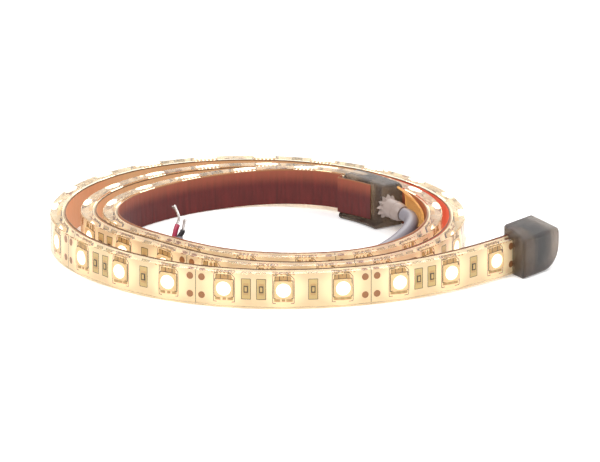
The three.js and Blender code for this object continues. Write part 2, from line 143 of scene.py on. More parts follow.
# Tongue: its section from the wall outward and up, the degrees from the sleeve's end that it
# starts behind and that it sweeps, and the shares it loses in depth and height at its far end
HOOD_SECTION = [
    (0, 3), (0, 6), (0, 9.2), (-0.35, 10.4), (-1, 11.4), (-2, 12.2), (-3, 12.8),
    (-3.2, 12.2), (-2.2, 11.7), (-1.4, 11), (-0.85, 10.1), (-0.6, 9), (-0.6, 6), (-0.6, 3),
]
HOOD_WALL_GAP = 0.4
HOOD_LEAD = 2
HOOD_SWEEP = 19
HOOD_STEPS = 12
HOOD_FLATTENS = 0.55
HOOD_FALLS = 0.18

# Strain relief: places back from the cable's exit, radii, and how far the teeth stand out
RELIEF_TEETH = 11
RELIEF_PROFILE = [
    (-7.7, 2.9, 0.75), (-7.0, 2.9, 0.6), (-6.1, 2.75, 0), (-5.9, 2.72, 0), (-3.4, 2.72, 0),
    (-3.25, 2.86, 0), (-2.95, 2.86, 0), (-2.8, 2.7, 0), (-1.6, 2.65, 0), (-0.7, 2.4, 0),
    (-0.3, 2.15, 0),
]
TOOTH_GAP_DEPTH = 0.8

# Centre lines from the inner end: on beyond the sleeve, outward from the roll and up
JACKET_ROUTE = [
    (8.7, -0.5, 6.5), (10.8, -0.1, 6.3), (12.9, -0.4, 6.1), (14.9, -1.5, 5.8),
    (17.2, -3.5, 5.4), (19.7, -6.3, 4.8), (22.5, -10.6, 4), (25.1, -15.9, 3.2),
    (27.5, -22.3, 2.6), (29.5, -29.2, 2.2), (30.7, -37, 2.1), (30, -45.3, 2.1),
    (27.9, -53.2, 2.1), (24.4, -60.1, 2.1), (19.8, -65.9, 2.1), (14.1, -69.5, 2.3),
    (8.6, -71.6, 3.1), (4.8, -72.7, 4.6), (2.7, -73, 6.7), (1.9, -72.7, 9.2),
]
RED_ROUTE = [(1.2, -72.7, 9.9), (1.1, -72.3, 11.1), (0.9, -71.6, 12.4)]
RED_TIN_ROUTE = [(0.8, -71.6, 12.75), (0.8, -71.1, 14.2), (-0, -71.3, 16), (-0.9, -71.9, 17.6)]
BLACK_ROUTE = [(2.8, -71.7, 9.85), (2.9, -71.3, 10.5), (2.9, -71, 11.2)]
BLACK_TIN_ROUTE = [(2.9, -70.9, 11.55), (2.9, -70.7, 12.8), (3, -70.5, 14.2)]

# Jacket, cores and strands: radii, and what is hidden at the start, all in metres
JACKET_POINTS = 90
JACKET_RADIUS = 0.002
JACKET_END_RADIUS = 0.0019
CORE_POINTS = 10
CORE_RADIUS = 0.00075
CORE_TIP_RADIUS = 0.00068
CORE_HIDDEN = 0.0012
STRAND_POINTS = 26
STRAND_RADIUS = 0.00015
STRAND_SPACING = 0.00027
STRAND_HIDDEN = 0.0005
OUTER_STRANDS = 6
STRAND_TWIST = 0.32
FRAY_START = 20

# LED package: half its width, its cut corner, and the rings of its surface, each with the
# half-width of a square or the radius of a circle, and the height above the board
LED_CORNER_CUT = 0.9
LED_PROFILE = [
    (2.5, None, 0.0), (2.5, None, 1.38), (2.42, None, 1.5), (None, 2.15, 1.5),
    (None, 1.95, 1.22), (None, 1.2, 1.26), (None, 0.3, 1.28),
]
LED_RIM_RINGS = 5
LED_TURNS = 24
# Its leads: middles along it, half a lead's width, and near and far reach, bottom and top of a
# lead's foot and of its strap up the package
LED_LEADS = (-1.7, 0, 1.7)
LEAD_HALF = 0.45
LEAD_PARTS = ((2.45, 3.4, 0.0, 0.3), (2.45, 2.56, 0.25, 0.8))
# Light spot above an LED that faces away: half-sizes along, up and out, and its middle
SPOT_LONG, SPOT_HIGH, SPOT_DEEP = 3.3, 0.55, 1.3
SPOT_UP, SPOT_OUT = 4.75, 2.6
SPOT_STEPS = 8
FACING_AWAY = -0.1

# Marks on the board: how deep they start in it and how high they end above it
SUNK = -0.02
INK_TOP = 0.03
LAND_TOP = 0.04
PAD_TOP = 0.05
BAR_TOP = 0.06
CUT_LINE_HALF = 4.95
PAD_BESIDE = 1.75
PAD_ABOVE = 2.65
LED_FOOTPRINT = [(-2.9, -4.0), (2.9, -4.0), (2.9, 3.1), (2.0, 4.0), (-2.9, 4.0)]
BODY_LINE_HALF = 2.56
BODY_LINE_TOP = 0.3
RESISTOR_SHIFTS = ((0.0,), (-2.15, 2.15), ())
RESISTOR_LAND = (1.3, 3.0)
# Blocks at each LED and each resistor: left, right, low and high from its middle, bottom and
# top from the board's face, and finish
LED_BLOCKS = [
    (-2.5, 2.0, 2.62, 3.8, SUNK, LAND_TOP, "lead"),
    (-2.5, 2.5, -3.5, -2.62, SUNK, LAND_TOP, "land"),
    (-2.19, -2.01, 2.62, 3.8, SUNK, BAR_TOP, "ink"),
    (-1.14, -0.96, 2.62, 3.8, SUNK, BAR_TOP, "ink"),
    (-0.09, 0.09, 2.62, 3.8, SUNK, BAR_TOP, "ink"),
    (0.96, 1.14, 2.62, 3.8, SUNK, BAR_TOP, "ink"),
]
RESISTOR_BLOCKS = [
    (-0.7, 0.7, -1.7, -1.0, 0, 0.22, "lead"),
    (-0.7, 0.7, 1.0, 1.7, 0, 0.22, "lead"),
    (-0.62, 0.62, -1.0, 1.0, 0, 0.45, "resistor"),
    (-0.34, 0.34, -0.66, 0.66, 0.3, 0.5, "resistor_top"),
]
# Painted reflections of the LED's leads in the silicone's top face, drawn as short dashes
LEAD_REFLECTION_DASHES = [
    (-0.3, 0.3, 5.02, 5.14, 3.0, 3.25, "lead"),
    (-0.4, 0.3, 5.0, 5.12, 1.2, 1.6, "copper"),
]
LEAD_REFLECTION_PLACES = (-2.8, -1.68, -0.56, 0.56, 1.68, 2.8)

# The camera that was fitted to the photo: the place in the roll that it looks at, and how many
# pixels of a picture 600 wide a millimetre takes there
CAMERA_AIM = (10.194, 14.229, 0)
PIXELS_PER_MM = 3.438
PICTURE_WIDTH = 600
SENSOR_WIDTH = 36
# Floor, half its width and its drop, and the lamps with place, width and power: metres, watts
FLOOR_HALF = 3
FLOOR_DROP = 0.0002
LAMPS = (
    ("Key", (-0.5, -0.9, 1.1), 0.9, 16.0),
    ("Fill", (0.9, -0.3, 0.8), 0.8, 6.0),
    ("Back", (0.0, 0.9, 0.9), 0.8, 6.0),
)


# The strip's line


def spline(a, b, c, d, t):
    """A value or place between b and c on a smooth line through all four."""
    bend = 2 * a - 5 * b + 4 * c - d
    twist = 3 * b - a - 3 * c + d
    return 0.5 * (2 * b + (c - a) * t + bend * t**2 + twist * t**3)


def knot_radius(index):
    """Radius of the board's front at a knot, built up turn by turn from the innermost one."""
    turn = len(INNER_TURN_RADII)
    if index < 0:
        return knot_radius(index + turn) - STRIP_THICKNESS - INNER_LOOSENESS
    if index < turn:
        return INNER_TURN_RADII[index]
    spare = TURN_LOOSENESS[min(index - turn, len(TURN_LOOSENESS) - 1)]
    return knot_radius(index - turn) + STRIP_THICKNESS + spare


def roll_radius(degrees):
    """Radius of the roll's line at an angle, smoothed between the knots."""
    place = degrees / KNOT_STEP
    index = math.floor(place)
    return spline(*(knot_radius(index + k) for k in (-1, 0, 1, 2)), place - index)


def make_route():
    """The strip's line in plan, the length up to each point, and the length where it starts."""
    points = []
    for step in range(STEPS_PER_DEGREE * (ROLL_END - ROUTE_FIRST) + 1):
        angle = ROUTE_FIRST + step / STEPS_PER_DEGREE
        radius = roll_radius(angle)
        turn = math.radians(angle)
        points.append((radius * math.cos(turn), radius * math.sin(turn)))
    (bx, by), (x, y) = points[-2:]
    start = math.atan2(y - by, x - bx)
    end = math.radians(TAIL_HEADING)
    for step in range(TAIL_STEPS + TAIL_SPARE):
        share = min((step + 0.5) / TAIL_STEPS, 1)
        heading = start + (end - start) * share**TAIL_CURVING
        x += math.cos(heading) * TAIL_LENGTH / TAIL_STEPS
        y += math.sin(heading) * TAIL_LENGTH / TAIL_STEPS
        points.append((x, y))
    lengths = [0.0]
    for a, b in zip(points, points[1:]):
        lengths.append(lengths[-1] + math.dist(a, b))
    return points, lengths, lengths[len(points) - 1 - TAIL_SPARE] - CUT_END


ROUTE_POINTS, ROUTE_LENGTHS, ROUTE_START = make_route()


def smooth_share(x):
    """A share from 0 to 1 that starts and ends gently."""
    t = min(max(x, 0), 1)
    return t * t * (3 - 2 * t)


def lift_at(along):
    """How far the strip stands off the table at a place along it."""
    inner = smooth_share((LIFT_RUN - along) / (LIFT_RUN - SLEEVE_COVER))
    outer = smooth_share((along - STRIP_END + LIFT_RUN) / (LIFT_RUN - CAP_COVER - CAP_SLANT))
    return INNER_LIFT * inner + OUTER_LIFT * outer


def strip_frame(along):
    """Place, forward and outward direction of the strip's line, smoothed between its points."""
    target = ROUTE_START + along
    low, high = 0, len(ROUTE_LENGTHS) - 1
    while high - low > 1:
        middle = (low + high) // 2
        if ROUTE_LENGTHS[middle] > target:
            high = middle
        else:
            low = middle
    a, b = Vector(ROUTE_POINTS[low]), Vector(ROUTE_POINTS[high])
    share = (target - ROUTE_LENGTHS[low]) / (ROUTE_LENGTHS[high] - ROUTE_LENGTHS[low])
    before = Vector(ROUTE_POINTS[max(low - 1, 0)])
    after = Vector(ROUTE_POINTS[min(high + 1, len(ROUTE_POINTS) - 1)])
    forward = ((b - before).normalized().lerp((after - a).normalized(), share)).normalized()
    return a.lerp(b, share), forward, Vector((forward.y, -forward.x))


def to_frame(x, y, z):
    """A place in the roll's own millimetres, in the part's frame and in metres."""
    return Vector(((x + ORIGIN_SHIFT[0]) * MM, (y + ORIGIN_SHIFT[1]) * MM, z * MM))


def strip_point(along, out, up):
    """A place along the strip, outward from the board's front, and up from the strip's foot."""
    place, _, outward = strip_frame(along)
    flat = place + outward * out
    return to_frame(flat.x, flat.y, up + lift_at(along))


def end_point(beyond, out, up):
    """A place given from the inner end: on beyond the sleeve, outward from the roll and up."""
    place, forward, outward = strip_frame(INNER_END)
    flat = place - forward * beyond + outward * out
    return to_frame(flat.x, flat.y, up)


def cap_point(beyond, up, out):
    """A place given from the outer end: beyond the strip, up and outward from the board."""
    place, forward, outward = strip_frame(STRIP_END)
    flat = place + forward * beyond + outward * out
    return to_frame(flat.x, flat.y, up)


def board_point(along, up, out):
    """A place along the strip, up from its middle and outward from the board's front."""
    return strip_point(along, out, MID_HEIGHT + up)


def layer_span(width):
    """Lowest and highest edge of a layer: the widest ones stand on the table."""
    low = max(0.0, MID_HEIGHT - width / 2)
    return low, low + width


def led_place(number):
    """Where an LED's middle is along the strip, counted from the outer end."""
    return CUT_END - (number + 0.5) * LED_PITCH


def facet_matrix(middle, length):
    """A flat stretch of the board: x along it, y up and z outward, in millimetres."""
    a = strip_point(middle - length / 2, 0, MID_HEIGHT)
    b = strip_point(middle + length / 2, 0, MID_HEIGHT)
    along = (b - a).normalized()
    out = along.cross(Vector((0, 0, 1))).normalized()
    up = out.cross(along)
    turn = Matrix((along, up, out)).transposed().to_4x4()
    return Matrix.Translation((a + b) / 2) @ turn @ Matrix.Scale(MM, 4)


# Mesh building


class Shell:
    """Collects faces with their material numbers and strip coordinates for one piece."""

    def __init__(self):
        self.verts = []
        self.faces = []
        self.slots = []
        self.marks = []

    def add(self, verts, faces, slot=0, marks=None):
        first = len(self.verts)
        self.verts.extend(verts)
        self.marks.extend(marks or [(0.0, 0.0)] * len(verts))
        self.faces.extend([first + i for i in face] for face in faces)
        self.slots.extend([slot] * len(faces))

    def loft(self, rings, slot=0, marks=None, caps=True):
        """A tube through rings that each hold the same number of points."""
        count = len(rings[0])
        verts = [p for ring in rings for p in ring]
        faces = []
        for r in range(len(rings) - 1):
            for i in range(count):
                a, b = r * count + i, r * count + (i + 1) % count
                faces.append((a, b, b + count, a + count))
        self.add(verts, faces, slot, [m for ring in marks for m in ring] if marks else None)
        if caps:
            first = len(self.verts) - len(verts)
            self.faces.append([first + count - 1 - i for i in range(count)])
            self.slots.append(slot)
            self.cap_end(count, slot)

    def cap_end(self, count, slot):
        """Closes the last ring of the tube that was added last."""
        last = len(self.verts) - count
        self.faces.append([last + i for i in range(count)])
        self.slots.append(slot)

    def prism(self, outline, low, high, place, slot=0):
        """A flat-sided block: its outline pushed from low to high, and put in place."""
        self.loft([[place(x, y, z) for x, y in outline] for z in (low, high)], slot)

    def outline_block(self, outline, width, low, high, place, slot):
        """Thin lines along an outline, as blocks of the given width."""
        for (x0, y0), (x1, y1) in zip(outline, outline[1:] + outline[:1]):
            long = math.dist((x0, y0), (x1, y1))
            nx, ny = (y1 - y0) / long * width / 2, (x0 - x1) / long * width / 2
            block = [(x0 + nx, y0 + ny), (x1 + nx, y1 + ny), (x1 - nx, y1 - ny), (x0 - nx, y0 - ny)]
            self.prism(block, low, high, place, slot)

    def build(self, name, materials, smooth=40):
        """Makes the object, smooth apart from edges sharper than the given degrees."""
        mesh = bpy.data.meshes.new(name)
        mesh.from_pydata([tuple(v) for v in self.verts], [], self.faces)
        for material in materials:
            mesh.materials.append(material)
        mesh.polygons.foreach_set("material_index", self.slots)
        layer = mesh.uv_layers.new(name="strip_mm")
        for loop in mesh.loops:
            layer.data[loop.index].uv = self.marks[loop.vertex_index]
        mesh.validate()
        piece = bpy.data.objects.new(name, mesh)
        bpy.context.scene.collection.objects.link(piece)
        face_outward(mesh)
        for polygon in mesh.polygons:
            polygon.use_smooth = True
        mesh.set_sharp_from_angle(angle=math.radians(smooth))
        return piece


def face_outward(mesh):
    """Turns every closed part of the mesh to face outward."""
    work = bmesh.new()
    work.from_mesh(mesh)
    bmesh.ops.recalc_face_normals(work, faces=work.faces)
    work.to_mesh(mesh)
    work.free()


def keep(piece, slot, *nodes):
    """Ties a finished piece to the part's root body and hides the solids it stands for; its slot is
    not used.
    """
    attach(piece, "root")
    if nodes:
        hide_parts(*nodes)
    return piece


def rectangle(x0, x1, y0, y1):
    """Corners of a rectangle."""
    return [(x0, y0), (x1, y0), (x1, y1), (x0, y1)]


def disc(x, y, radius, count=20):
    """Corners of a round outline."""
    steps = [2 * math.pi * i / count for i in range(count)]
    return [(x + radius * math.cos(t), y + radius * math.sin(t)) for t in steps]


def stations(first, last, step):
    """Evenly spread places from first to last, about a step apart."""
    count = max(1, round((last - first) / step))
    return [first + (last - first) * i / count for i in range(count + 1)]


def strip_marks(along, outline):
    """Strip coordinates of a layer's ring: along, and up from the middle."""
    return [(along, up - MID_HEIGHT) for _, up in outline]


def curve_points(points, count):
    """Evenly spread points on a smooth line through the given ones, in metres."""
    source = [end_point(*p) for p in points]
    padded = [2 * source[0] - source[1], *source, 2 * source[-1] - source[-2]]
    dense = []
    for i in range(1, len(padded) - 2):
        for step in range(12):
            dense.append(spline(*padded[i - 1 : i + 3], step / 12))
    dense.append(source[-1])
    lengths = [0.0]
    for a, b in zip(dense, dense[1:]):
        lengths.append(lengths[-1] + (b - a).length)
    result, j = [], 0
    for i in range(count):
        target = lengths[-1] * i / (count - 1)
        while j < len(lengths) - 2 and lengths[j + 1] < target:
            j += 1
        share = (target - lengths[j]) / (lengths[j + 1] - lengths[j])
        result.append(dense[j].lerp(dense[j + 1], min(max(share, 0), 1)))
    return result


def start_earlier(line, length):
    """The same line with one more point before its first one."""
    return [line[0] - (line[1] - line[0]).normalized() * length, *line]


def tube_frames(path):
    """A place and two side directions at each point of a path, turned as little as possible."""
    frames = []
    side = None
    for i, point in enumerate(path):
        ahead = path[min(i + 1, len(path) - 1)] - path[max(i - 1, 0)]
        along = ahead.normalized()
        if side is None:
            side = along.orthogonal()
        side = (side - along * side.dot(along)).normalized()
        frames.append((point, side, along.cross(side)))
    return frames


def around(side, up, reach, turn):
    """A step of the given reach, at an angle between two directions."""
    return side * (reach * math.cos(turn)) + up * (reach * math.sin(turn))


def tube_rings(path, radii, count):
    """Round rings along a path, one for each of its points."""
    turns = [2 * math.pi * i / count for i in range(count)]
    return [
        [point + around(side, up, radius, turn) for turn in turns]
        for (point, side, up), radius in zip(tube_frames(path), radii)
    ]


# Materials


def colour(code):
    """An sRGB hex value as linear red, green, blue and alpha."""
    values = []
    for i in (0, 2, 4):
        c = int(code[i : i + 2], 16) / 255
        values.append(c / 12.92 if c <= 0.04045 else ((c + 0.055) / 1.055) ** 2.4)
    return (*values, 1.0)


def add_node(tree, kind, inputs=(), **settings):
    """Adds a node, sets its settings, and links or fills the inputs given as pairs."""
    node = tree.nodes.new(kind)
    for name, value in settings.items():
        setattr(node, name, value)
    for socket, value in inputs:
        if isinstance(value, bpy.types.NodeSocket):
            tree.links.new(value, node.inputs[socket])
        else:
            node.inputs[socket].default_value = value
    return node


def new_material(name, **sockets):
    """A material whose shader's own sockets hold every value that is the same all over."""
    material = bpy.data.materials.new(name)
    material.use_nodes = True
    shader = material.node_tree.nodes["Principled BSDF"]
    for socket, value in sockets.items():
        shader.inputs[socket.replace("_", " ")].default_value = value
    return material, material.node_tree, shader


def strip_coordinates(tree):
    """Millimetres along the strip and up from the middle of its height."""
    marks = add_node(tree, "ShaderNodeUVMap", uv_map="strip_mm")
    return add_node(tree, "ShaderNodeSeparateXYZ", [(0, marks.outputs[0])]).outputs


def mottle(tree, scale, detail, dark, light):
    """A cloudy pattern: its height, and its two tones as a colour."""
    cloud = add_node(tree, "ShaderNodeTexNoise", [("Scale", scale), ("Detail", detail)])
    tones = add_node(
        tree, "ShaderNodeMix", [(0, cloud.outputs[0]), ("A", colour(dark)), ("B", colour(light))],
        data_type="RGBA",
    )
    return cloud.outputs[0], tones.outputs["Result"]


def make_silicone():
    """Addition-cure silicone, poured on the board and left to level: glassy, a little yellow,
    with a slow waviness from pouring, one wave in about 3 mm."""
    material, tree, shader = new_material(
        "Cast silicone, clear", Base_Color=colour("fdf3df"), Roughness=0.06, IOR=1.41,
        Transmission_Weight=1.0,
    )
    marks = add_node(tree, "ShaderNodeUVMap", uv_map="strip_mm")
    wave = add_node(
        tree, "ShaderNodeTexNoise",
        [("Vector", marks.outputs[0]), ("Scale", 0.35), ("Detail", 2.0)],
    )
    bump = add_node(
        tree, "ShaderNodeBump",
        [("Height", wave.outputs[0]), ("Strength", 0.25), ("Distance", 0.0002)],
    )
    tree.links.new(bump.outputs[0], shader.inputs["Normal"])
    return material


def make_board():
    """White solder mask on a polyimide board: satin, and lit by the LEDs around it, so that it
    glows brightest beside each LED."""
    material, tree, shader = new_material(
        "White solder mask, lit", Base_Color=colour("ebdabc"), Roughness=0.45,
        Emission_Color=colour("ffe4bd"),
    )
    along, up, _ = strip_coordinates(tree)
    step = add_node(
        tree, "ShaderNodeMath", [(0, along), (1, LED_PITCH)], operation="FLOORED_MODULO"
    )
    across = add_node(
        tree, "ShaderNodeMath", [(0, step.outputs[0]), (1, LED_PITCH / 2)], operation="SUBTRACT"
    )
    square = add_node(
        tree, "ShaderNodeMath", [(0, across.outputs[0]), (1, 2.0)], operation="POWER"
    )
    rise = add_node(tree, "ShaderNodeMath", [(0, up), (1, up)], operation="MULTIPLY")
    away = add_node(
        tree, "ShaderNodeMath", [(0, square.outputs[0]), (1, rise.outputs[0])], operation="ADD"
    )
    # Squares of the distance from the LED's middle, 2 mm to 7.7 mm
    glow = add_node(
        tree, "ShaderNodeMapRange",
        [
            (0, away.outputs[0]), ("From Min", 4.0), ("From Max", 60.0),
            ("To Min", 0.5), ("To Max", 0.17),
        ],
        interpolation_type="SMOOTHERSTEP",
    )
    tree.links.new(glow.outputs[0], shader.inputs["Emission Strength"])
    return material


def make_liner():
    """Red polyethylene release film: satin, with fine upright creases from being wound, and painted
    shade that darkens its red in the creases' hollows.

    Its cut top edge is coloured brown. The wall of the innermost turn glows a little near its
    top, and the film in the gaps between the turns is lit by the LEDs that it faces: red at the
    right, tan at the back and between the two at the left.
    """
    material, tree, shader = new_material(
        "Polyethylene release film, red", Roughness=0.36, Specular_IOR_Level=0.3
    )
    along, up, _ = strip_coordinates(tree)
    upright = add_node(tree, "ShaderNodeMath", [(0, up), (1, 0.12)], operation="MULTIPLY")
    stretched = add_node(tree, "ShaderNodeCombineXYZ", [(0, along), (1, upright.outputs[0])])
    crease = add_node(
        tree, "ShaderNodeTexNoise",
        [("Vector", stretched.outputs[0]), ("Scale", 0.9), ("Detail", 4.0)],
    )
    # Painted shade: the film's red is darker in the hollows of the creases
    film = add_node(
        tree, "ShaderNodeMix",
        [(0, crease.outputs[0]), ("A", colour("300c0d")), ("B", colour("6c1f1e"))],
        data_type="RGBA",
    )
    # The film's top edge is coloured brown
    edge = add_node(tree, "ShaderNodeMapRange", [(0, up), ("From Min", 5.0), ("From Max", 5.3)])
    brown_edged = add_node(
        tree, "ShaderNodeMix",
        [(0, edge.outputs[0]), ("A", film.outputs["Result"]), ("B", colour("5e4023"))],
        data_type="RGBA",
    )
    bump = add_node(
        tree, "ShaderNodeBump",
        [("Height", crease.outputs[0]), ("Strength", 0.35), ("Distance", 0.0003)],
    )
    # Places from left to right in the part's frame, in metres
    spot = add_node(tree, "ShaderNodeNewGeometry")
    spot = add_node(tree, "ShaderNodeSeparateXYZ", [(0, spot.outputs["Position"])])
    right = add_node(
        tree, "ShaderNodeMapRange", [(0, spot.outputs[0]), ("From Min", 0.016), ("From Max", 0.03)]
    )
    left = add_node(
        tree, "ShaderNodeMapRange",
        [(0, spot.outputs[0]), ("From Min", -0.05), ("From Max", -0.062), ("To Max", 0.3)],
    )
    sides = add_node(
        tree, "ShaderNodeMath", [(0, right.outputs[0]), (1, left.outputs[0])],
        operation="MAXIMUM",
    )
    gap = add_node(
        tree, "ShaderNodeMix",
        [(0, sides.outputs[0]), ("A", colour("d8ad7c")), ("B", colour("e2553c"))],
        data_type="RGBA",
    )
    # The innermost turn ends about 265 mm along the strip
    outer = add_node(
        tree, "ShaderNodeMapRange", [(0, along), ("From Min", 258.0), ("From Max", 272.0)]
    )
    glow = add_node(
        tree, "ShaderNodeMix",
        [(0, outer.outputs[0]), ("A", colour("c8744e")), ("B", gap.outputs["Result"])],
        data_type="RGBA",
    )
    wall = add_node(
        tree, "ShaderNodeMapRange",
        [(0, up), ("From Min", 0.5), ("From Max", 5.2), ("To Min", 0.02), ("To Max", 0.4)],
        interpolation_type="SMOOTHSTEP",
    )
    inside = add_node(
        tree, "ShaderNodeMapRange",
        [(0, up), ("From Min", 5.0), ("From Max", 5.3), ("To Min", 0.75), ("To Max", 0.0)],
    )
    shine = add_node(
        tree, "ShaderNodeMix",
        [(0, outer.outputs[0]), ("A", wall.outputs[0]), ("B", inside.outputs[0])],
        data_type="FLOAT",
    )
    tree.links.new(brown_edged.outputs["Result"], shader.inputs["Base Color"])
    tree.links.new(bump.outputs[0], shader.inputs["Normal"])
    tree.links.new(glow.outputs["Result"], shader.inputs["Emission Color"])
    tree.links.new(shine.outputs[0], shader.inputs["Emission Strength"])
    return material


def make_smoked():
    """Smoked silicone of the caps: grey-brown, translucent, moulded, with a slightly matt skin,
    and painted paler at the outer cap's thin closed end: painted light coming through it."""
    material, tree, shader = new_material(
        "Moulded silicone, smoked", Roughness=0.09, IOR=1.41, Transmission_Weight=0.9
    )
    beyond = strip_coordinates(tree)[0]
    height, tones = mottle(tree, 330.0, 4.0, "2e2625", "74665e")
    # Painted light: the outer cap's thin closed end is painted paler
    thin = add_node(
        tree, "ShaderNodeMapRange", [(0, beyond), ("From Min", 4.5), ("From Max", 8.0)]
    )
    mix = add_node(
        tree, "ShaderNodeMix", [(0, thin.outputs[0]), ("A", tones), ("B", colour("cdbfb0"))],
        data_type="RGBA",
    )
    bump = add_node(
        tree, "ShaderNodeBump", [("Height", height), ("Strength", 0.6), ("Distance", 0.0004)]
    )
    tree.links.new(mix.outputs["Result"], shader.inputs["Base Color"])
    tree.links.new(bump.outputs[0], shader.inputs["Normal"])
    return material


# Finishes of two close tones: name, pattern scale and detail, dark tone, light tone, sockets.
# The grain of the metals and the foam is drawn as coarse as it needs to show.
MOTTLED = {
    # Copper foil pads under the silicone, with a thin dull film and a faint painted glow
    "copper": ("Copper foil", 1800.0, 3.0, "a8754f", "8f6243", {
        "Metallic": 0.3, "Roughness": 0.42,
        "Emission_Color": colour("c98a5c"), "Emission_Strength": 0.12,
    }),
    # Solder lands, tinned; their yellow tone and glow are painted light of the lit LEDs
    "land": ("Tinned solder land", 1500.0, 3.0, "cdb987", "b39a66", {
        "Metallic": 0.3, "Roughness": 0.4,
        "Emission_Color": colour("efd9a2"), "Emission_Strength": 0.2,
    }),
    # Acrylic foam tape, off-white and dull
    "tape": ("Acrylic foam tape", 2500.0, 4.0, "d8ccb4", "a89a80", {"Roughness": 0.8}),
    # Pale elastomer of the strain relief, satin, grey with a little mauve
    "relief": ("Moulded TPE, pale grey", 500.0, 3.0, "82716b", "ab9a90", {"Roughness": 0.42}),
    # PVC cable jacket, extruded: smooth satin grey
    "jacket": ("Extruded PVC, grey", 220.0, 2.0, "766f76", "8a8489", {"Roughness": 0.38}),
}

# Finishes of one tone, on pieces too small to show any grain: name, tone, sockets
PLAIN = {
    # Silk-screen ink, fine grey-brown lines on the mask
    "ink": ("Screen ink, brown", "5c4a36", {"Roughness": 0.6}),
    # Solder fillets and lead frame of the LED packages, tan in the warm light
    "lead": ("Silver-plated lead frame", "b8986a", {
        "Metallic": 0.15, "Roughness": 0.45,
        "Emission_Color": colour("d8b27c"), "Emission_Strength": 0.25,
    }),
    # Moulded PPA package, white plastic that the phosphor lights from inside
    "package": ("Moulded PPA, lit", "d8c09a", {
        "Roughness": 0.4, "Emission_Color": colour("ffdca8"), "Emission_Strength": 0.3,
    }),
    # Phosphor gel: burns out to white when the strip is on
    "phosphor": ("Phosphor gel, lit", "fff6e4", {
        "Roughness": 0.3, "Emission_Color": colour("fff3dc"), "Emission_Strength": 2.2,
    }),
    # Thick-film resistor: dark glaze with a paler top that carries a painted glow
    "resistor": ("Resistor glaze", "4a3a24", {"Roughness": 0.3}),
    "resistor_top": ("Resistor ceramic", "b39a64", {
        "Roughness": 0.5, "Emission_Color": colour("d8bd84"), "Emission_Strength": 0.4,
    }),
    # The same silicone as the strip's, gold in the light of the LEDs behind it
    "gold": ("Cast silicone, thin", "e8c083", {
        "Roughness": 0.12, "IOR": 1.41, "Transmission_Weight": 0.8,
        "Emission_Color": colour("c4955a"), "Emission_Strength": 0.3,
    }),
    # Glue inside the caps, nearly black-brown as painted shade of their dark interior
    "glue_and_shade": ("Cured sealant, dark", "2c201d", {"Roughness": 0.3}),
    # Extruded insulation of the cores, satin
    "red_pvc": ("PVC insulation, red", "a8324e", {"Roughness": 0.35}),
    "black_pvc": ("PVC insulation, black", "1d1b1e", {"Roughness": 0.35}),
    # Tinned copper strands: bright grey metal
    "strand": ("Tinned copper", "cfcac6", {"Metallic": 1.0, "Roughness": 0.28}),
}


def make_materials():
    """Every finish of the strip by a short name."""
    made = {
        "silicone": make_silicone(),
        "board": make_board(),
        "liner": make_liner(),
        "smoked": make_smoked(),
    }
    for key, (name, scale, detail, dark, light, sockets) in MOTTLED.items():
        made[key], tree, shader = new_material(name, **sockets)
        tones = mottle(tree, scale, detail, dark, light)[1]
        tree.links.new(tones, shader.inputs["Base Color"])
    for key, (name, tone, sockets) in PLAIN.items():
        made[key] = new_material(name, Base_Color=colour(tone), **sockets)[0]
    return made


MATERIALS = make_materials()


# Settings that a user would change


class StripSettings(bpy.types.PropertyGroup):
    """Sizes of the dressed strip."""

    silicone_edge: bpy.props.FloatProperty(
        name="Silicone Edge", description="Rounding of the silicone's long edges",
        default=0.0004, unit="LENGTH",
    )
    pad_size: bpy.props.FloatProperty(
        name="Pad Size", description="Diameter of the copper pads at each cut line",
        default=0.0020, unit="LENGTH",
    )
    line_width: bpy.props.FloatProperty(
        name="Line Width", description="Width of the printed lines",
        default=0.00016, unit="LENGTH",
    )
    liner_crinkle: bpy.props.FloatProperty(
        name="Liner Crinkle", description="How far the liner's edge stands off in its creases",
        default=0.0001, unit="LENGTH",
    )


class StageSettings(bpy.types.PropertyGroup):
    """Camera and light of the studio stage."""

    elevation: bpy.props.FloatProperty(
        name="Elevation", description="Camera angle above the floor",
        default=math.radians(17.092), subtype="ANGLE",
    )
    distance: bpy.props.FloatProperty(
        name="Distance", description="Camera distance from the roll",
        default=2.552, unit="LENGTH",
    )
    floor_colour: bpy.props.FloatVectorProperty(
        name="Floor Colour", description="Colour of the floor",
        default=(0.9, 0.9, 0.9), subtype="COLOR", size=3,
    )


